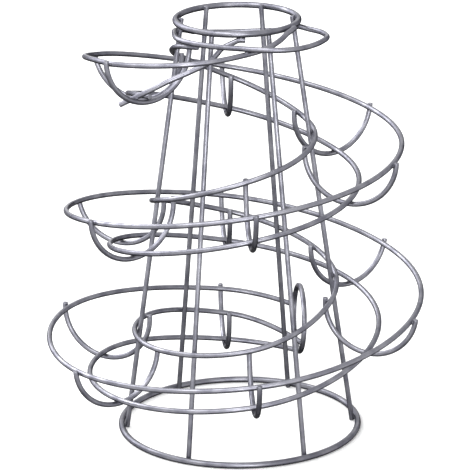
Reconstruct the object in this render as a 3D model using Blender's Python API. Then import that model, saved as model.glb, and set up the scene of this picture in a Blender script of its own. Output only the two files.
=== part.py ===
# Spiral rack of welded steel wire that rolls eggs down to a stop by their own weight.
# Six straight legs join a small top ring to a wide base ring. Fifteen round cradles hang
# between the legs' outside and the open air, and three rails lie in them as one long track.
# Lengths are metres and angles are degrees. An azimuth is counted from +X, clockwise as
# seen from above, which is the way the track runs downhill.

import math
from bisect import bisect_right

import bmesh
import bpy
from mathutils import Vector

# Wire
RING_WIRE = 0.0042
RAIL_WIRE = 0.0036
CRADLE_WIRE = 0.0034
LEG_WIRE = 0.0032
WELD_GAP = 0.0003

# Frame
RACK_HEIGHT = 0.300
TOP_RING_RADIUS = 0.0423
BASE_RING_RADIUS = 0.0844
LEG_COUNT = 6
LEG_FOOT_LIFT = 0.0006
LEG_HEAD_DROP = 0.0004

# Track: one height for every cradle from the top down, and one past each end
CRADLE_COUNT = 15
CRADLE_RADIUS = 0.0340
CRADLE_LEAD = 28
END_POKE = 0.0010
FIRST_CRADLE_AZIMUTH = 148
TRACK_HEIGHT_SHARES = (0.966, 0.952, 0.891, 0.810, 0.738, 0.698, 0.650, 0.589, 0.529,
                       0.459, 0.400, 0.340, 0.274, 0.245, 0.233, 0.187, 0.139)

# Rails: where each one lies on the inside of the round cradles, counted from the outward
# level, at the same stations as the heights, and where the inner rail begins
OUTER_RAIL_ANGLES = (-5, -5, -9, -13, -8, -6, -6, -5, -10, -9, -15, -12, -8, -9, 1, -1, -45)
INNER_RAIL_ANGLES = (180, 180, 178, 178, 178, 176, 175, 175, 177, 177, 181, 180, 181, 179, 177, 178, 207)
FLOOR_RAIL_ANGLES = (-90, -89, -89, -89, -89, -89, -90, -90, -90, -90, -89, -91, -90, -88, -85, -88, -88)
INNER_RAIL_START = 131

# Lead-in of the outer rail, from the top ring out to the first cradle
LEAD_IN_START = 36
LEAD_IN_TURN_SHARES = (0, 0.11, 0.21, 0.32, 0.49, 0.69, 1)
LEAD_IN_SPREAD_SHARES = (0, 0.03, 0.10, 0.17, 0.28, 0.54, 1)
LEAD_IN_FALL_SHARES = (0, 0.09, 0.25, 0.45, 0.64, 0.80, 1)

# Loading loop: a closed wire round the legs, drawn out at the right front, where it lies
# on the outer rail, and sagging at the back. One share for every twelfth of a turn.
LOOP_PEAK = 60
LOOP_BULGE = 0.031
LOOP_SAG = 0.015
LOOP_BULGE_SHARES = (0, 0.82, 1, 0.58, 0.28, 0.15, 0, 0, 0, 0, 0, 0)
LOOP_SAG_SHARES = (0.05, 0, 0, 0, 0.07, 0.13, 0.20, 0.45, 0.87, 1, 0.87, 0.55)

# Feed ramp: from under the top ring down across the bottom of the first cradle
RAMP_START = 86
RAMP_BEND = 93
RAMP_SEAT_OFFSET = 0.006
RAMP_SLANT = 47
RAMP_TAIL = 0.017
RAMP_TURN_SHARES = (0, 0.23, 0.34, 0.43, 0.64, 0.81, 1)
RAMP_SPREAD_SHARES = (0, 0.10, 0.14, 0.18, 0.32, 0.61, 1)
RAMP_FALL_SHARES = (0, 0.117, 0.279, 0.40, 0.57, 0.726, 1)

# End hoop: an upright closed oval across the end of the track, over the floor rail
HOOP_AZIMUTH = 1018
HOOP_TWIST = 29
HOOP_LEAN = 4
HOOP_HEIGHT = 0.046

# Fineness of the round forms and of the searches along the track
SLOPE_SPAN = 1
AZIMUTH_CLOSENESS = 0.001
WIRE_SIDES = 8
RING_STEPS = 48
RAIL_STEP = 7
CRADLE_STEP = 14
LOOP_STEP = 10
HOOP_STEPS = 28
HOOP_ROUNDS = 5

# Finish
STEEL_COLOR = (0.42, 0.42, 0.46, 1)
STEEL_ROUGHNESS = 0.34
STEEL_METALLIC = 0.9

# Worked out from the sizes above
LEG_STEP = 360 / LEG_COUNT
RING_LEVEL = RACK_HEIGHT - RING_WIRE / 2
BASE_LEVEL = RING_WIRE / 2


def seat(first_wire, second_wire):
    # Distance between the middles of two wires welded side by side
    return (first_wire + second_wire) / 2 + WELD_GAP


LEG_TOP_RADIUS = TOP_RING_RADIUS - seat(RING_WIRE, LEG_WIRE)
LEG_BASE_RADIUS = BASE_RING_RADIUS - seat(RING_WIRE, LEG_WIRE)
LEG_LEAN = math.atan2(LEG_BASE_RADIUS - LEG_TOP_RADIUS, RING_LEVEL - BASE_LEVEL)
RAIL_ORBIT = CRADLE_RADIUS - seat(CRADLE_WIRE, RAIL_WIRE)
FLOOR_RAIL_START = FIRST_CRADLE_AZIMUTH - math.degrees(END_POKE / CRADLE_RADIUS)


def polar_place(radius, azimuth, height):
    turn = math.radians(azimuth)
    return Vector((radius * math.cos(turn), -radius * math.sin(turn), height))


def smooth_curve(stations, values):
    # A smooth function through the values that never swings past them
    steps = [b - a for a, b in zip(stations, stations[1:])]
    rises = [(b - a) / step for a, b, step in zip(values, values[1:], steps)]
    slopes = [rises[0]]
    for before, after in zip(rises, rises[1:]):
        turns_back = before * after <= 0
        slopes.append(0 if turns_back else 2 * before * after / (before + after))
    slopes.append(rises[-1])

    def value_at(place):
        index = min(max(bisect_right(stations, place) - 1, 0), len(steps) - 1)
        share = (place - stations[index]) / steps[index]
        rest = 1 - share
        level = values[index] * rest ** 2 * (1 + 2 * share) + values[index + 1] * share ** 2 * (3 - 2 * share)
        bend = steps[index] * share * rest * (slopes[index] * rest - slopes[index + 1] * share)
        return level + bend

    return value_at


def spread_steps(start, end, largest_step):
    # Equal steps from start to end, without the end
    count = max(1, math.ceil((end - start) / largest_step))
    return [start + (end - start) * index / count for index in range(count)]


CRADLE_AZIMUTHS = [FIRST_CRADLE_AZIMUTH + LEG_STEP * index for index in range(CRADLE_COUNT)]
TRACK_STATIONS = [CRADLE_AZIMUTHS[0] - LEG_STEP] + CRADLE_AZIMUTHS + [CRADLE_AZIMUTHS[-1] + LEG_STEP]
track_height = smooth_curve(TRACK_STATIONS, [RACK_HEIGHT * share for share in TRACK_HEIGHT_SHARES])
outer_angle = smooth_curve(TRACK_STATIONS, OUTER_RAIL_ANGLES)
inner_angle = smooth_curve(TRACK_STATIONS, INNER_RAIL_ANGLES)
floor_angle = smooth_curve(TRACK_STATIONS, FLOOR_RAIL_ANGLES)


def leg_radius(height):
    # How far the legs stand out at a height
    share = (RING_LEVEL - height) / (RING_LEVEL - BASE_LEVEL)
    return LEG_TOP_RADIUS + (LEG_BASE_RADIUS - LEG_TOP_RADIUS) * share


def beside_legs(height):
    # Radius of a rail that lies against the outside of the legs
    return leg_radius(height) + seat(LEG_WIRE, RAIL_WIRE) / math.cos(LEG_LEAN)


def track_radius(azimuth):
    # The middle of the round trough stands off the inner rail, which the legs carry
    angle = math.radians(inner_angle(azimuth))
    inner_rail_height = track_height(azimuth) + RAIL_ORBIT * math.sin(angle)
    return beside_legs(inner_rail_height) - RAIL_ORBIT * math.cos(angle)


def track_slope(azimuth):
    # How steeply the track runs downhill
    fall = track_height(azimuth - SLOPE_SPAN) - track_height(azimuth + SLOPE_SPAN)
    return math.atan2(fall, track_radius(azimuth) * 2 * math.radians(SLOPE_SPAN))


def rail_place(azimuth, rail_angle):
    # A rail on the floor of a cradle crosses it on the slope, so it lies a little higher
    angle = math.radians(rail_angle(azimuth))
    slant = track_slope(azimuth) * math.sin(angle) ** 2
    orbit = CRADLE_RADIUS - seat(CRADLE_WIRE, RAIL_WIRE) / math.cos(slant)
    radius = track_radius(azimuth) + orbit * math.cos(angle)
    return polar_place(radius, azimuth, track_height(azimuth) + orbit * math.sin(angle))


def track_azimuths(start, end):
    # Points at every leg and cradle on the way, so the rail touches them exactly
    turns = range(math.ceil(end / LEG_STEP) + 1)
    knots = [LEG_STEP * turn for turn in turns] + [LEG_STEP * turn + CRADLE_LEAD for turn in turns]
    knots = [start] + sorted(knot for knot in knots if start < knot < end) + [end]
    azimuths = [a for low, high in zip(knots, knots[1:]) for a in spread_steps(low, high, RAIL_STEP)]
    return azimuths + [end]


def hoop_frame():
    # Middle of the end hoop's plane and its directions: sideways, upward and back up the track
    middle = polar_place(track_radius(HOOP_AZIMUTH), HOOP_AZIMUTH, track_height(HOOP_AZIMUTH))
    turn = math.radians(HOOP_AZIMUTH - HOOP_TWIST)
    sideways = Vector((math.cos(turn), -math.sin(turn), 0))
    backward = Vector((math.sin(turn), math.cos(turn), math.tan(math.radians(HOOP_LEAN)))).normalized()
    return middle, sideways, sideways.cross(backward), backward


def last_azimuth(low, high, holds):
    # Halve the stretch of azimuth until it closes on the last place where the test holds
    while high - low > AZIMUTH_CLOSENESS:
        azimuth = (low + high) / 2
        if holds(azimuth):
            low = azimuth
        else:
            high = azimuth
    return low


def azimuth_at_hoop(rail_angle):
    # Where a rail passes through the hoop's plane
    middle, *_, backward = hoop_frame()

    def before_hoop(azimuth):
        return (rail_place(azimuth, rail_angle) - middle).dot(backward) > 0

    return last_azimuth(HOOP_AZIMUTH - LEG_STEP / 2, HOOP_AZIMUTH + LEG_STEP / 2, before_hoop)


def rail_at_hoop(rail_angle):
    # Where a rail passes through the hoop's plane, and how far it runs in one step there
    azimuth = azimuth_at_hoop(rail_angle)
    place = rail_place(azimuth, rail_angle)
    return azimuth, place, place - rail_place(azimuth - SLOPE_SPAN, rail_angle)


def hoop_oval():
    # The oval's sides pass through the side rails' ends, and it stands on the floor rail. Its
    # width and its level depend on each other, so they are worked out in a few rounds.
    middle, sideways, upward, _ = hoop_frame()
    half_height = HOOP_HEIGHT / 2
    inner, outer, floor = (rail_at_hoop(angle)[1] - middle
                           for angle in (inner_angle, outer_angle, floor_angle))
    floor_run = rail_at_hoop(floor_angle)[2]
    lift = seat(RAIL_WIRE, RAIL_WIRE) / abs(floor_run.cross(sideways).normalized().dot(upward))
    level = floor.dot(upward) + lift + half_height
    for _ in range(HOOP_ROUNDS):
        inner_share, outer_share = (math.sqrt(1 - ((place.dot(upward) - level) / half_height) ** 2)
                                    for place in (inner, outer))
        half_width = (outer - inner).dot(sideways) / (inner_share + outer_share)
        aside = inner.dot(sideways) + half_width * inner_share
        floor_share = (floor.dot(sideways) - aside) / half_width
        level = floor.dot(upward) + lift + half_height * math.sqrt(1 - floor_share ** 2)
    return middle + sideways * aside + upward * level, sideways * half_width, upward * half_height


def steel_material(name):
    material = bpy.data.materials.new(name + "_steel")
    material.use_nodes = True
    shader = material.node_tree.nodes["Principled BSDF"]
    shader.inputs["Base Color"].default_value = STEEL_COLOR
    shader.inputs["Roughness"].default_value = STEEL_ROUGHNESS
    shader.inputs["Metallic"].default_value = STEEL_METALLIC
    return material


def wire_curve(name, points, wire, closed=False):
    curve = bpy.data.curves.new(name, "CURVE")
    curve.dimensions = "3D"
    curve.bevel_depth = wire / 2
    curve.bevel_resolution = (WIRE_SIDES - 4) // 2
    curve.use_fill_caps = True
    spline = curve.splines.new("POLY")
    spline.points.add(len(points) - 1)
    for spline_point, place in zip(spline.points, points):
        spline_point.co = (*place, 1)
    spline.use_cyclic_u = closed
    return curve


def add_piece(name, data, rack, location=(0, 0, 0), azimuth=0):
    piece = bpy.data.objects.new(name, data)
    bpy.context.scene.collection.objects.link(piece)
    piece.parent = rack
    piece.location = location
    piece.rotation_euler.z = -math.radians(azimuth)
    if not data.materials:
        data.materials.append(None)
    piece.material_slots[0].link = "OBJECT"
    piece.material_slots[0].material = steel_material(name)
    return piece


def add_ring(name, radius, level, rack):
    # An eight sided wire section with a flat below, turned round the upright axis
    ring = bmesh.new()
    corner_radius = RING_WIRE / 2 / math.cos(math.pi / WIRE_SIDES)
    corners = []
    for index in range(WIRE_SIDES):
        angle = math.tau * (index + 0.5) / WIRE_SIDES
        across = radius + corner_radius * math.cos(angle)
        corners.append(ring.verts.new((across, 0, level + corner_radius * math.sin(angle))))
    section = [ring.edges.new((a, b)) for a, b in zip(corners, corners[1:] + corners[:1])]
    bmesh.ops.spin(ring, geom=section, axis=(0, 0, 1), cent=(0, 0, 0), steps=RING_STEPS,
                   angle=math.tau, use_merge=True)
    bmesh.ops.recalc_face_normals(ring, faces=ring.faces)
    mesh = bpy.data.meshes.new(name)
    ring.to_mesh(mesh)
    ring.free()
    mesh.shade_smooth()
    add_piece(name, mesh, rack)


def add_legs(rack):
    foot_height = LEG_FOOT_LIFT
    head_height = RACK_HEIGHT - LEG_HEAD_DROP
    foot = (leg_radius(foot_height), 0, foot_height)
    head = (leg_radius(head_height), 0, head_height)
    for index in range(LEG_COUNT):
        name = f"leg_{index + 1}"
        add_piece(name, wire_curve(name, (foot, head), LEG_WIRE), rack, azimuth=LEG_STEP * index)


def add_cradles(rack):
    # Round arcs, each with points where the rails lie and an end just past each side rail
    end_reach = math.degrees((RAIL_WIRE / 2 + END_POKE) / CRADLE_RADIUS)
    for index, azimuth in enumerate(CRADLE_AZIMUTHS):
        name = f"cradle_{index + 1:02d}"
        inner, outer = inner_angle(azimuth) - 360, outer_angle(azimuth)
        knots = (inner - end_reach, inner, floor_angle(azimuth), outer, outer + end_reach)
        angles = [a for low, high in zip(knots, knots[1:]) for a in spread_steps(low, high, CRADLE_STEP)]
        turns = [math.radians(angle) for angle in angles + [knots[-1]]]
        arc = [(CRADLE_RADIUS * math.cos(turn), 0, CRADLE_RADIUS * math.sin(turn)) for turn in turns]
        place = polar_place(track_radius(azimuth), azimuth, track_height(azimuth))
        add_piece(name, wire_curve(name, arc, CRADLE_WIRE), rack, place, azimuth)


def rail_end(rail_angle):
    # The floor rail ends just past the hoop's wire, which lies on it. The side rails are cut
    # square, so that their nearest edge just clears the hoop's wire.
    azimuth, place, run = rail_at_hoop(rail_angle)
    if rail_angle is floor_angle:
        return azimuth + SLOPE_SPAN * (RAIL_WIRE / 2 + END_POKE) / run.length
    center, across, upward = hoop_oval()
    reach = place - center
    turn = math.atan2(reach.dot(upward) / upward.length_squared, reach.dot(across) / across.length_squared)
    lean = abs(math.pi / 2 - run.angle(upward * math.cos(turn) - across * math.sin(turn)))
    short = (RAIL_WIRE / 2 * (1 + math.sin(lean)) + WELD_GAP) / math.cos(lean)
    return azimuth - SLOPE_SPAN * short / run.length


def lead_in_place(azimuth):
    # The outer rail leaves the side of the top ring and spreads out to the first cradle
    start = polar_place(TOP_RING_RADIUS + seat(RING_WIRE, RAIL_WIRE), LEAD_IN_START, RING_LEVEL)
    end = rail_place(FIRST_CRADLE_AZIMUTH, outer_angle)
    turn = (azimuth - LEAD_IN_START) / (FIRST_CRADLE_AZIMUTH - LEAD_IN_START)
    spread = smooth_curve(LEAD_IN_TURN_SHARES, LEAD_IN_SPREAD_SHARES)(turn)
    fall = smooth_curve(LEAD_IN_TURN_SHARES, LEAD_IN_FALL_SHARES)(turn)
    radius = start.xy.length + (end.xy.length - start.xy.length) * spread
    return polar_place(radius, azimuth, start.z + (end.z - start.z) * fall)


def add_rails(rack):
    lead_in = spread_steps(LEAD_IN_START, FIRST_CRADLE_AZIMUTH, RAIL_STEP)
    track = track_azimuths(FIRST_CRADLE_AZIMUTH, rail_end(outer_angle))
    outer = [lead_in_place(azimuth) for azimuth in lead_in]
    outer += [rail_place(azimuth, outer_angle) for azimuth in track]
    add_piece("outer_rail", wire_curve("outer_rail", outer, RAIL_WIRE), rack)
    for name, start, angle in (("inner_rail", INNER_RAIL_START, inner_angle),
                               ("floor_rail", FLOOR_RAIL_START, floor_angle)):
        places = [rail_place(azimuth, angle) for azimuth in track_azimuths(start, rail_end(angle))]
        add_piece(name, wire_curve(name, places, RAIL_WIRE), rack)


def closed_curve(shares):
    # A smooth function round one turn that ends as it began
    step = 360 / len(shares)
    rounds = range(-len(shares), 2 * len(shares))
    return smooth_curve([step * index for index in rounds], [shares[index % len(shares)] for index in rounds])


def add_loading_loop(rack):
    bulge = closed_curve(LOOP_BULGE_SHARES)
    sag = closed_curve(LOOP_SAG_SHARES)

    def outer_rail_inside(azimuth):
        loop_radius = beside_legs(RING_LEVEL) + LOOP_BULGE * bulge(azimuth)
        return lead_in_place(azimuth).xy.length < loop_radius

    crossing = last_azimuth(LOOP_PEAK, FIRST_CRADLE_AZIMUTH, outer_rail_inside)
    front_height = lead_in_place(crossing).z + seat(RAIL_WIRE, RAIL_WIRE)
    places = []
    for azimuth in spread_steps(0, 360, LOOP_STEP):
        height = front_height - LOOP_SAG * sag(azimuth)
        places.append(polar_place(beside_legs(height) + LOOP_BULGE * bulge(azimuth), azimuth, height))
    add_piece("loading_loop", wire_curve("loading_loop", places, RAIL_WIRE, closed=True), rack)


def add_feed_ramp(rack):
    start_height = RING_LEVEL - seat(RING_WIRE, CRADLE_WIRE)
    slant = math.cos(math.radians(RAMP_SLANT))
    orbit = CRADLE_RADIUS - seat(CRADLE_WIRE, CRADLE_WIRE) / slant
    seat_radius = track_radius(FIRST_CRADLE_AZIMUTH) + RAMP_SEAT_OFFSET
    seat_height = track_height(FIRST_CRADLE_AZIMUTH) - math.sqrt(orbit ** 2 - RAMP_SEAT_OFFSET ** 2)
    spread = smooth_curve(RAMP_TURN_SHARES, RAMP_SPREAD_SHARES)
    fall = smooth_curve(RAMP_TURN_SHARES, RAMP_FALL_SHARES)
    places = [polar_place(TOP_RING_RADIUS, RAMP_START, start_height)]
    for azimuth in spread_steps(RAMP_BEND, FIRST_CRADLE_AZIMUTH, RAIL_STEP / 2) + [FIRST_CRADLE_AZIMUTH]:
        share = (azimuth - RAMP_BEND) / (FIRST_CRADLE_AZIMUTH - RAMP_BEND)
        radius = TOP_RING_RADIUS + (seat_radius - TOP_RING_RADIUS) * spread(share)
        height = start_height + (seat_height - start_height) * fall(share)
        places.append(polar_place(radius, azimuth, height))
    places.append(places[-1] + (places[-1] - places[-2]).normalized() * RAMP_TAIL)
    add_piece("feed_ramp", wire_curve("feed_ramp", places, CRADLE_WIRE), rack)


def add_end_hoop(rack):
    center, across, upward = hoop_oval()
    turns = [math.tau * index / HOOP_STEPS for index in range(HOOP_STEPS)]
    places = [center + across * math.cos(turn) + upward * math.sin(turn) for turn in turns]
    add_piece("end_hoop", wire_curve("end_hoop", places, RAIL_WIRE, closed=True), rack)


def stand_on_origin(rack):
    # Slide the rack level until the middle of its outline stands on the origin
    bpy.context.view_layer.update()
    graph = bpy.context.evaluated_depsgraph_get()
    corners = []
    for piece in rack.children:
        shape = piece.evaluated_get(graph)
        corners += [piece.matrix_world @ vertex.co for vertex in shape.to_mesh().vertices]
        shape.to_mesh_clear()
    for axis in (0, 1):
        reach = [corner[axis] for corner in corners]
        rack.location[axis] = -(min(reach) + max(reach)) / 2


def main():
    for old in list(bpy.data.objects):
        bpy.data.objects.remove(old)
    rack = bpy.data.objects.new("rack", None)
    bpy.context.scene.collection.objects.link(rack)
    add_ring("base_ring", BASE_RING_RADIUS, BASE_LEVEL, rack)
    add_ring("top_ring", TOP_RING_RADIUS, RING_LEVEL, rack)
    add_legs(rack)
    add_rails(rack)
    add_cradles(rack)
    add_loading_loop(rack)
    add_feed_ramp(rack)
    add_end_hoop(rack)
    stand_on_origin(rack)


main()
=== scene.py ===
# Rolling egg dispenser: a spiral rack of welded steel wire, finished for its picture.
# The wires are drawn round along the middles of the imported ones, their cut ends are
# eased, and a small weld is run wherever two of them meet.

import math

import bmesh
import bpy
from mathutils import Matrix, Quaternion, Vector, geometry, kdtree, noise


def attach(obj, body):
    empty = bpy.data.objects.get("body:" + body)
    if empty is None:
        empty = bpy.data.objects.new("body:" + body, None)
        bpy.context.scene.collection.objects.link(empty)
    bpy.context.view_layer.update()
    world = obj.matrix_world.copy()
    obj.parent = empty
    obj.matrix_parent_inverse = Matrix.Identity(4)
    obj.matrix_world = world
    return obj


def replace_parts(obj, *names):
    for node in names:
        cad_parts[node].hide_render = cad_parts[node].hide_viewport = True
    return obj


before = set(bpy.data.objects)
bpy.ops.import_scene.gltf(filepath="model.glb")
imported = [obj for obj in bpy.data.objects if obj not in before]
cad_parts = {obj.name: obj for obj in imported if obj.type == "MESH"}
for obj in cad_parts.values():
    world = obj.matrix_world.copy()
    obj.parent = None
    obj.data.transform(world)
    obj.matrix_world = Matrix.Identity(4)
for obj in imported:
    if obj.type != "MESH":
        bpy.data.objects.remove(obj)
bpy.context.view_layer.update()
print("rack loaded:", len(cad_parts), "wires")

scene = bpy.context.scene
scene.view_settings.view_transform = "Standard"


# Colours and materials

def hexColor(code, share=1):
    # sRGB hex to the linear colour that the shader wants, or to a share of it
    channels = [int(code[i:i + 2], 16) / 255 for i in (0, 2, 4)]
    linear = [c / 12.92 if c <= 0.04045 else ((c + 0.055) / 1.055) ** 2.4 for c in channels]
    return tuple(c * share for c in linear) + (1,)


def addNode(tree, kind, settings=None, links=None):
    # One node with its settings, and links given as input: (node, output)
    node = tree.nodes.new(kind)
    for name, value in (settings or {}).items():
        if name in node.inputs:
            node.inputs[name].default_value = value
        else:
            setattr(node, name, value)
    for name, (source, output) in (links or {}).items():
        tree.links.new(source.outputs[output], node.inputs[name])
    return node


satinSteel = {
    "brightTone": "8E8E96",
    "dullTone": "70707A",
    "paintedEdgeShadeTone": "1E1E22",     # painted shade: the shine is darkened on faces that don't point up
    "paintedHighlightTone": "FFFFFF",    # painted highlight: the shine stays full on the upward faces, so tops and bends read bright
    "paintedHighlightFrom": 0.80,        # upward share of the surface's direction where the painted highlight begins
    "paintedHighlightTo": 0.96,          # and where it is full
    "paintedUndersideShade": 0.30,       # painted shade: the undersides are darkened, as if shaded from below
    "paintedShadeFrom": -0.32,       # upward share up to which the painted shade is darkest
    "paintedShadeTo": 0.14,          # and from which the tone is full
    "metallic": 0.9,
    "smoothest": 0.32,
    "roughest": 0.44,
    "cloudSize": 0.011,       # patches of brighter and duller plating
    "cloudDetail": 3.0,
    "toneFrom": 0.35,         # cloud level where the dull tone ends
    "toneTo": 0.65,           # and where the bright one begins
    "glossFrom": 0.3,         # cloud level where the plate is roughest
    "glossTo": 0.7,           # and where it is smoothest
    "grainSize": 0.0012,      # fine orange peel of the plated skin, drawn coarser than real
    "grainDetail": 2.0,
    "grainDepth": 0.00003,
    "grainStrength": 0.5,
    # share of the tones for each kind of wire, and for the welds between them
    "shares": {"ring": 0.9, "rail": 1.0, "cradle": 1.0, "leg": 0.96, "weld": 0.92},
}


def platedSteel(name, look, share):
    # Satin nickel plate on drawn mild steel wire: a soft, wide shine and a cool grey body,
    # with clouds where the plate is thinner. Barrel plating leaves a faint orange peel.
    material = bpy.data.materials.new(name)
    material.use_nodes = True
    tree = material.node_tree
    shader = tree.nodes["Principled BSDF"]
    shader.inputs["Metallic"].default_value = look["metallic"]
    place = addNode(tree, "ShaderNodeTexCoord")
    facing = addNode(tree, "ShaderNodeSeparateXYZ", links={"Vector": (place, "Normal")})
    # Clouds of tone and gloss
    clouds = addNode(tree, "ShaderNodeTexNoise",
                     {"Scale": 1 / look["cloudSize"], "Detail": look["cloudDetail"]},
                     {"Vector": (place, "Object")})
    tone = addNode(tree, "ShaderNodeValToRGB", links={"Fac": (clouds, "Fac")})
    dull, bright = tone.color_ramp.elements
    dull.position = look["toneFrom"]
    dull.color = hexColor(look["dullTone"], share)
    bright.position = look["toneTo"]
    bright.color = hexColor(look["brightTone"], share)
    gloss = addNode(tree, "ShaderNodeMapRange",
                    {"From Min": look["glossFrom"], "From Max": look["glossTo"],
                     "To Min": look["roughest"], "To Max": look["smoothest"]},
                    {"Value": (clouds, "Fac")})
    # Orange peel
    grain = addNode(tree, "ShaderNodeTexNoise",
                    {"Scale": 1 / look["grainSize"], "Detail": look["grainDetail"]},
                    {"Vector": (place, "Object")})
    peel = addNode(tree, "ShaderNodeBump",
                   {"Strength": look["grainStrength"], "Distance": look["grainDepth"]},
                   {"Height": (grain, "Fac")})
    # Painted shade: the undersides darker
    under = addNode(tree, "ShaderNodeMapRange",
                    {"From Min": look["paintedShadeFrom"], "From Max": look["paintedShadeTo"],
                     "To Min": look["paintedUndersideShade"]},
                    {"Value": (facing, "Z")})
    shaded = addNode(tree, "ShaderNodeVectorMath", {"operation": "SCALE"},
                     {"Vector": (tone, "Color"), "Scale": (under, "Result")})
    # Painted shade in the shine of faces that don't point up, and a painted highlight on the tops
    highlightMask = addNode(tree, "ShaderNodeMapRange",
                    {"From Min": look["paintedHighlightFrom"], "From Max": look["paintedHighlightTo"]},
                    {"Value": (facing, "Z")})
    edge = addNode(tree, "ShaderNodeValToRGB", links={"Fac": (highlightMask, "Result")})
    paintedEdgeShade, paintedHighlight = edge.color_ramp.elements
    paintedEdgeShade.color = hexColor(look["paintedEdgeShadeTone"])
    paintedHighlight.color = hexColor(look["paintedHighlightTone"])
    # the base colour carries the painted underside shade, the specular tint the painted shine shade and
    # top highlight
    tree.links.new(shaded.outputs["Vector"], shader.inputs["Base Color"])
    tree.links.new(edge.outputs["Color"], shader.inputs["Specular Tint"])
    tree.links.new(gloss.outputs["Result"], shader.inputs["Roughness"])
    tree.links.new(peel.outputs["Normal"], shader.inputs["Normal"])
    return material


plates = {}
for kind, share in satinSteel["shares"].items():
    plates[kind] = platedSteel(kind + "_nickel_plate", satinSteel, share)
print("plates mixed:", len(plates))


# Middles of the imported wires

wires = {
    # diameters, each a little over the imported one, to close the gap kept between the solids
    "ring": 0.0044,
    "rail": 0.0038,
    "cradle": 0.0037,
    "leg": 0.0035,
    "sectionReach": 1.15,     # corners of one section lie within this many diameters of each other
    "cutAngle": 60,           # degrees, an edge sharper than this runs round a cut end
    "step": 0.0022,           # longest straight run on a bend
    "bevelResolution": 10,    # gives 24 sides round the wire
    "endEase": 0.00035,       # the shears leave a cut end a little rounded
    "easeSegments": 3,
    "mergeDistance": 0.00001,
}

cradleTrims = {
    # the shears left the cradles a little uneven: cut off the inner end, and off the outer end
    "usual": (0.0016, 0),
    "cradle_02": (0.0016, 0.0014),
    "cradle_04": (0.0008, 0.0008),
    "cradle_08": (0.0016, 0.0022),
    "cradle_09": (0.0004, 0),
    "cradle_10": (0, 0),
    "cradle_11": (0, 0),
    "cradle_12": (0.0028, 0),
    "cradle_13": (0.0046, 0),
}


def wireKind(name):
    kinds = {"ring": "ring", "leg": "leg", "cradle": "cradle", "ramp": "cradle"}
    for word, kind in kinds.items():
        if word in name:
            return kind
    return "rail"


def mergedShape(mesh):
    shape = bmesh.new()
    shape.from_mesh(mesh)
    bmesh.ops.remove_doubles(shape, verts=shape.verts, dist=wires["mergeDistance"])
    return shape


def inOrder(verts):
    # A set has no order of its own, and a sum over it has to come out the same each run
    return sorted(verts, key=lambda v: v.index)


def cutEdges(shape):
    # The edges round a wire's two cut ends. A closed wire has none.
    return [e for e in shape.edges if e.calc_face_angle(0) > math.radians(wires["cutAngle"])]


def wireMiddles(name):
    # Walks the eight-cornered sections of a packed wire from one end to the other
    shape = mergedShape(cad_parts[name].data)
    rim = {v for e in cutEdges(shape) for v in e.verts}
    closed = not rim
    starts = rim or shape.verts
    first = min(starts, key=lambda v: tuple(v.co))
    reach = wires[wireKind(name)] * wires["sectionReach"]
    section = {v for v in starts if (v.co - first.co).length < reach}
    seen = set(section)
    middles = []
    while section:
        middle = sum((v.co for v in inOrder(section)), Vector()) / len(section)
        near = {e.other_vert(v) for v in section for e in v.link_edges} - seen
        if closed and not middles:   # from the first section of a closed wire, only one way round
            facing = geometry.normal([v.co for v in inOrder(section)[:3]])
            near = {v for v in near if (v.co - middle).dot(facing) > 0}
        middles.append(middle)
        seen |= near
        section = near
    shape.free()
    return middles, closed


def smoothMiddles(points, closed):
    # A bezier run through the points, cut into short steps
    count = len(points)
    tangents = []
    for i, here in enumerate(points):
        before = points[(i - 1) % count] if closed or i > 0 else here
        after = points[(i + 1) % count] if closed or i < count - 1 else here
        toHere = here - before
        toNext = after - here
        behind = toHere.length
        ahead = toNext.length
        if behind and ahead:   # the nearer neighbour weighs more
            tangents.append((toHere / behind * ahead + toNext / ahead * behind).normalized())
        else:
            tangents.append((after - before).normalized())
    smooth = []
    for i in range(count if closed else count - 1):
        start, end = points[i], points[(i + 1) % count]
        length = (end - start).length
        steps = math.ceil(length / wires["step"]) if count > 2 else 1   # a straight leg needs one
        leaving = start + tangents[i] * (length / 3)
        arriving = end - tangents[(i + 1) % count] * (length / 3)
        smooth += geometry.interpolate_bezier(start, leaving, arriving, end, steps + 1)[:-1]
    if not closed:
        smooth.append(points[-1])
    return smooth


def trimEnds(points, inner, outer):
    # Cuts both ends of a cradle back, the one nearer the middle of the rack first
    if points[0].xy.length > points[-1].xy.length:
        points = points[::-1]
    for left in (inner, outer):
        while (points[1] - points[0]).length < left:
            left -= (points[1] - points[0]).length
            points = points[1:]
        cut = points[0].lerp(points[1], left / (points[1] - points[0]).length)
        points = ([cut] + points[1:])[::-1]
    return points


# Round wires

def addPiece(name, shape, material):
    # One finished steel piece from its bmesh
    bmesh.ops.recalc_face_normals(shape, faces=shape.faces)
    mesh = bpy.data.meshes.new(name)
    shape.to_mesh(mesh)
    shape.free()
    mesh.shade_smooth()
    mesh.materials.append(material)
    piece = bpy.data.objects.new(name, mesh)
    scene.collection.objects.link(piece)
    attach(piece, "root")
    return piece


def drawWire(name, points, closed, diameter, material):
    curve = bpy.data.curves.new(name, "CURVE")
    curve.dimensions = "3D"
    curve.bevel_depth = diameter / 2
    curve.bevel_resolution = wires["bevelResolution"]
    curve.use_fill_caps = True
    spline = curve.splines.new("POLY")
    spline.points.add(len(points) - 1)
    for point, place in zip(spline.points, points):
        point.co = (*place, 1)
    spline.use_cyclic_u = closed
    rough = bpy.data.objects.new(name + "_line", curve)
    scene.collection.objects.link(rough)
    drawn = rough.evaluated_get(bpy.context.evaluated_depsgraph_get())
    mesh = bpy.data.meshes.new_from_object(drawn)
    shape = mergedShape(mesh)
    bpy.data.objects.remove(rough)
    bpy.data.meshes.remove(mesh)
    bmesh.ops.bevel(shape, geom=cutEdges(shape), offset=wires["endEase"], offset_type="OFFSET",
                    affect="EDGES", segments=wires["easeSegments"], profile=0.5, material=-1)
    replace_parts(addPiece(name + "_wire", shape, material), name)


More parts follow.
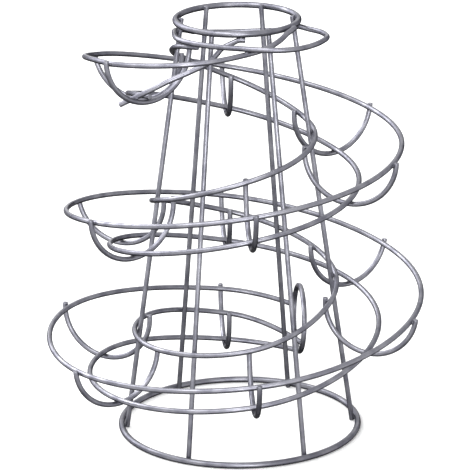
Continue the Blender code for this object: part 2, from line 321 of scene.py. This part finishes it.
wireLines = {}
for name in sorted(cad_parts):
    middles, closed = wireMiddles(name)
    line = smoothMiddles(middles, closed)
    if "cradle" in name:
        line = trimEnds(line, *cradleTrims.get(name, cradleTrims["usual"]))
    if name == "base_ring":   # the round ring rests on the floor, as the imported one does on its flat
        line = [Vector((*point.xy, wires["ring"] / 2)) for point in line]
    kind = wireKind(name)
    wireLines[name] = {"line": line, "closed": closed, "radius": wires[kind] / 2}
    drawWire(name, line, closed, wires[kind], plates[kind])
print("wires drawn:", len(wireLines))


# Where the wires meet

meets = {
    "reach": 0.0003,          # wires closer than this are welded
    "search": 0.0003,         # spacing of the points compared
    "break": 8,               # so many points apart, a new meeting begins
    "sideBySide": 0.0045,     # wires that meet for longer than this run side by side
}


def finePoints(points, closed):
    # The line cut to the search spacing, with its direction at every place
    ends = points[1:] + points[:1] if closed else points[1:]
    places = []
    directions = []
    for start, end in zip(points, ends):
        steps = math.ceil((end - start).length / meets["search"])
        places += [start.lerp(end, i / steps) for i in range(steps)]
        directions += [(end - start).normalized()] * steps
    if not closed:
        places.append(points[-1])
        directions.append(directions[-1])
    return places, directions


def meetings(wireA, wireB):
    # Each stretch where two wires come that close: which places meet, and its length
    apart = wireA["radius"] + wireB["radius"] + meets["reach"]
    stretches = []
    for index, place in enumerate(wireA["places"]):
        other, distance = wireB["tree"].find(place)[1:]
        if distance >= apart:
            continue
        if not stretches or index - stretches[-1][-1][1] >= meets["break"]:
            stretches.append([])
        stretches[-1].append((distance, index, other))
    for stretch in stretches:
        length = len(stretch) * meets["search"]
        nearest = stretch[len(stretch) // 2] if length > meets["sideBySide"] else min(stretch)
        yield nearest[1], nearest[2], length


for wire in wireLines.values():
    wire["places"], wire["directions"] = finePoints(wire["line"], wire["closed"])
    wire["tree"] = kdtree.KDTree(len(wire["places"]))
    for index, place in enumerate(wire["places"]):
        wire["tree"].insert(place, index)
    wire["tree"].balance()


# Welds

welds = {
    "sides": 24,
    "rows": 5,
    # to each side of the weld's middle, in radii of the thinner wire
    "spread": 1.3,            # how far a weld's foot goes along its wire
    "least": 0.6,             # and how far at least, close to the end of a wire
    "grip": 0.85,             # how far it goes across its wire
    "waist": 0.62,
    "neck": 0.92,             # where the weld takes hold of a wire that stands on the other
    "neckReach": 0.5,         # how far up it holds that wire
    # in radii of the foot's own wire
    "shoulder": 0.25,         # the foot lies at least this far off the wire's middle
    # in metres
    "sink": 0.00012,          # the foot runs this far into the wire
    "longest": 0.011,         # of a weld between wires side by side
    "ripple": 0.00005,
    "rippleSize": 0.0009,
    "lowest": 0.0006,         # no weld hangs under the base ring
    # shares
    "fill": 0.8,              # of a run side by side, how much is welded
    "endOnFrom": 0.7,         # a wire that points at the other by this share stands on it
    "alongFrom": 0.8,         # wires whose directions agree by this share get one long weld
}


def surfaceHeight(across, along, radius):
    # How far a wire's surface stands off its middle at a sideways place
    off = (across - along * across.dot(along)).length
    return math.sqrt(max(radius ** 2 - off ** 2, (radius * welds["shoulder"]) ** 2))


def weldSide(wire, index):
    # Place, direction and radius of a wire where it is welded, and the room to its nearer end
    place = wire["places"][index]
    room = math.inf
    if not wire["closed"]:
        room = min((place - wire["line"][0]).length, (place - wire["line"][-1]).length)
    return place, wire["directions"][index], wire["radius"], room


def standsOn(along, up):
    return abs(along.dot(up)) > welds["endOnFrom"]


def runsUp(edge):
    # Whether an edge of an unplaced sleeve or collar goes from its one rim to the other
    return edge.verts[0].co.z * edge.verts[1].co.z < 0


def joinTo(shape, part):
    mesh = bpy.data.meshes.new("part")
    part.to_mesh(mesh)
    part.free()
    shape.from_mesh(mesh)
    bpy.data.meshes.remove(mesh)


def runWeld(shape, sideOne, sideTwo, length):
    # A short sleeve from one wire to the other, drawn in at the waist
    placeA, alongA, radiusA, roomA = sideOne
    placeB, alongB, radiusB, roomB = sideTwo
    up = placeB - placeA
    gap = up.length
    up.normalize()
    thin = min(radiusA, radiusB)
    endOn = standsOn(alongB, up)
    sideA = (alongA - up * alongA.dot(up)).normalized()
    sideB = alongA if endOn else (alongB - up * alongB.dot(up)).normalized()
    crossing = sideA.cross(up)
    spread = min(welds["spread"], (placeA.z - welds["lowest"]) / thin)
    spreadA = max(welds["least"], min(spread, roomA / thin))
    spreadB = max(welds["least"], min(spread, roomB / thin))
    stretch = 1
    if not endOn and abs(sideA.dot(sideB)) > welds["alongFrom"]:
        run = min(length * welds["fill"], welds["longest"])
        stretch = max(1, run / (2 * thin * spread))
    sleeve = bmesh.new()
    bmesh.ops.create_cone(sleeve, cap_ends=True, segments=welds["sides"], radius1=1, radius2=1, depth=1)
    bmesh.ops.subdivide_edges(sleeve, edges=[e for e in sleeve.edges if runsUp(e)], cuts=welds["rows"])
    for vert in sleeve.verts:
        share = vert.co.z + 0.5   # 0 at the foot, 1 at the head
        around = sideA * vert.co.x + crossing * vert.co.y
        if endOn:
            across = around * (spread * (1 - share) + welds["neck"] * share) * thin
            head = gap + thin * welds["neckReach"]
        else:
            side = sideA if share < 0.5 else sideB
            flank = side.cross(up)
            reach = spreadA if share < 0.5 else spreadB
            pad = side * around.dot(side) * reach + flank * around.dot(flank) * welds["grip"]
            across = (around * welds["waist"]).lerp(pad, (2 * share - 1) ** 2) * thin
            across += sideA * across.dot(sideA) * (stretch - 1)
            head = gap - surfaceHeight(across, sideB, radiusB) + welds["sink"]
        foot = surfaceHeight(across, sideA, radiusA) - welds["sink"]
        place = placeA + across + up * (foot + (head - foot) * share)
        ripple = noise.noise(place / welds["rippleSize"]) * welds["ripple"]
        vert.co = place + across.normalized() * ripple
    joinTo(shape, sleeve)


seams = {
    "length": 0.0018,
    "stand": 0.00014,         # height over the wire
    "ease": 0.00028,          # how far each rim slopes
    "easeSegments": 2,
    # from the middle of each closed wire towards its seam
    "headings": {"top_ring": (-0.42, -0.91, 0), "loading_loop": (-0.6, 0.8, 0), "end_hoop": (0, 0, -1)},
}


def runSeam(shape, name):
    # The low collar left where a ring's two ends were butt welded and the bead ground down
    line = wireLines[name]["line"]
    middle = sum(line, Vector()) / len(line)
    heading = Vector(seams["headings"][name])
    index = max(range(len(line)), key=lambda i: (line[i] - middle).normalized().dot(heading))
    along = line[(index + 1) % len(line)] - line[index - 1]
    radius = wireLines[name]["radius"] + seams["stand"]
    collar = bmesh.new()
    bmesh.ops.create_cone(collar, cap_ends=True, segments=welds["sides"],
                          radius1=radius, radius2=radius, depth=seams["length"])
    bmesh.ops.bevel(collar, geom=[e for e in collar.edges if not runsUp(e)], offset=seams["ease"],
                    offset_type="OFFSET", affect="EDGES", segments=seams["easeSegments"],
                    profile=0.5, material=-1)
    bmesh.ops.rotate(collar, verts=collar.verts, matrix=along.to_track_quat("Z", "Y").to_matrix())
    bmesh.ops.translate(collar, verts=collar.verts, vec=line[index])
    joinTo(shape, collar)


def weldTogether(owner, others):
    # One piece: the seam of a closed wire, and its welds to the other wires given
    shape = bmesh.new()
    count = 0
    if owner in seams["headings"]:
        runSeam(shape, owner)
        count += 1
    for other in others:
        for here, there, length in meetings(wireLines[other], wireLines[owner]):
            sides = [weldSide(wireLines[other], here), weldSide(wireLines[owner], there)]
            up = (sides[1][0] - sides[0][0]).normalized()
            if standsOn(sides[0][1], up):   # the standing wire comes second
                sides.reverse()
            runWeld(shape, *sides, length)
            count += 1
    addPiece(owner + "_welds", shape, plates["weld"])
    return count


# each of these is welded to the wires that meet it and aren't above it in the list
weldOrder = ["base_ring", "top_ring", "loading_loop", "feed_ramp", "end_hoop",
             "inner_rail", "outer_rail", "floor_rail"]
total = 0
for turn, owner in enumerate(weldOrder):
    others = [name for name in wireLines if name not in weldOrder[:turn + 1]]
    total += weldTogether(owner, others)
print("welds run:", total)


# Floor, light and camera

studio = {
    "floorSize": 6.0,
    "floorColor": "FAFAFA",
    "floorRoughness": 0.9,
    "glowColor": "FFFFFF",
    "floorGlow": 0.25,        # under the rack, where its shadow has to show
    "farGlow": 1.0,           # far from it, where the lamps no longer reach
    "glowFrom": 0.7,          # distance where the glow begins to rise
    "glowTo": 1.8,            # and where it is full
    "worldStrength": 0.20,    # as light, and 1 where it is seen
    "lampAim": (0, 0, 0.15),
    "lamps": [
        # name, place, size, watts
        ("keyLamp", (-1.25, 1.1, 1.2), 1.7, 44),
        ("topLamp", (-0.65, -0.8, 2.0), 2.0, 42),
        ("frontLamp", (0.1, -2.4, 0.5), 1.0, 30),
    ],
}


def seenRays(tree):
    # 1 where the camera or the metal's shine looks, 0 for the light that falls on the rack
    rays = addNode(tree, "ShaderNodeLightPath")
    seen = addNode(tree, "ShaderNodeMath", {"operation": "MAXIMUM"})
    tree.links.new(rays.outputs["Is Camera Ray"], seen.inputs[0])
    tree.links.new(rays.outputs["Is Glossy Ray"], seen.inputs[1])
    return seen


def whitePaper():
    # A sweep of uncoated white paper, matt and without a grain that shows
    paper = bpy.data.materials.new("white_paper_sweep")
    paper.use_nodes = True
    tree = paper.node_tree
    shader = tree.nodes["Principled BSDF"]
    shader.inputs["Base Color"].default_value = hexColor(studio["floorColor"])
    shader.inputs["Roughness"].default_value = studio["floorRoughness"]
    shader.inputs["Emission Color"].default_value = hexColor(studio["glowColor"])
    place = addNode(tree, "ShaderNodeTexCoord")
    away = addNode(tree, "ShaderNodeVectorMath", {"operation": "LENGTH"}, {"Vector": (place, "Object")})
    glow = addNode(tree, "ShaderNodeMapRange",
                   {"From Min": studio["glowFrom"], "From Max": studio["glowTo"],
                    "To Min": studio["floorGlow"], "To Max": studio["farGlow"]},
                   {"Value": (away, "Value")})
    shown = addNode(tree, "ShaderNodeMath", {"operation": "MULTIPLY"})
    tree.links.new(glow.outputs["Result"], shown.inputs[0])
    tree.links.new(seenRays(tree).outputs["Value"], shown.inputs[1])
    tree.links.new(shown.outputs["Value"], shader.inputs["Emission Strength"])
    return paper


def layFloor():
    shape = bmesh.new()
    bmesh.ops.create_grid(shape, x_segments=1, y_segments=1, size=studio["floorSize"] / 2)
    mesh = bpy.data.meshes.new("floor")
    shape.to_mesh(mesh)
    shape.free()
    mesh.materials.append(whitePaper())
    floor = bpy.data.objects.new("floor", mesh)
    scene.collection.objects.link(floor)


def lightWorld():
    # White where the camera or the metal's shine sees it, softer as light
    world = bpy.data.worlds.new("studio")
    scene.world = world
    world.use_nodes = True
    tree = world.node_tree
    background = tree.nodes["Background"]
    background.inputs["Color"].default_value = hexColor(studio["glowColor"])
    strength = addNode(tree, "ShaderNodeMapRange", {"To Min": studio["worldStrength"]},
                       {"Value": (seenRays(tree), "Value")})
    tree.links.new(strength.outputs["Result"], background.inputs["Strength"])


def aimAt(place, target):
    # The turn that points a lamp or camera from its place at a target
    return (Vector(target) - Vector(place)).to_track_quat("-Z", "Y")


def hangLamps():
    for name, place, size, watts in studio["lamps"]:
        light = bpy.data.lights.new(name, "AREA")
        light.shape = "DISK"
        light.size = size
        light.energy = watts
        lamp = bpy.data.objects.new(name, light)
        scene.collection.objects.link(lamp)
        lamp.location = place
        lamp.rotation_euler = aimAt(place, studio["lampAim"]).to_euler()


camera = {
    "place": (-0.13052, -2.09547, 0.82411),
    "aim": (0.00061, -0.00149, 0.14211),
    "roll": -0.43,            # degrees
    "lens": 240.6,            # millimetres, as is the sensor's width
    "sensor": 36,
    "farthest": 20,
}


def setCamera():
    lens = bpy.data.cameras.new("camera")
    lens.lens = camera["lens"]
    lens.sensor_width = camera["sensor"]
    lens.clip_end = camera["farthest"]
    eye = bpy.data.objects.new("camera", lens)
    scene.collection.objects.link(eye)
    roll = Quaternion((0, 0, 1), math.radians(camera["roll"]))
    eye.rotation_mode = "QUATERNION"
    eye.location = camera["place"]
    eye.rotation_quaternion = aimAt(camera["place"], camera["aim"]) @ roll
    scene.camera = eye


layFloor()
lightWorld()
hangLamps()
setCamera()
print("studio set")
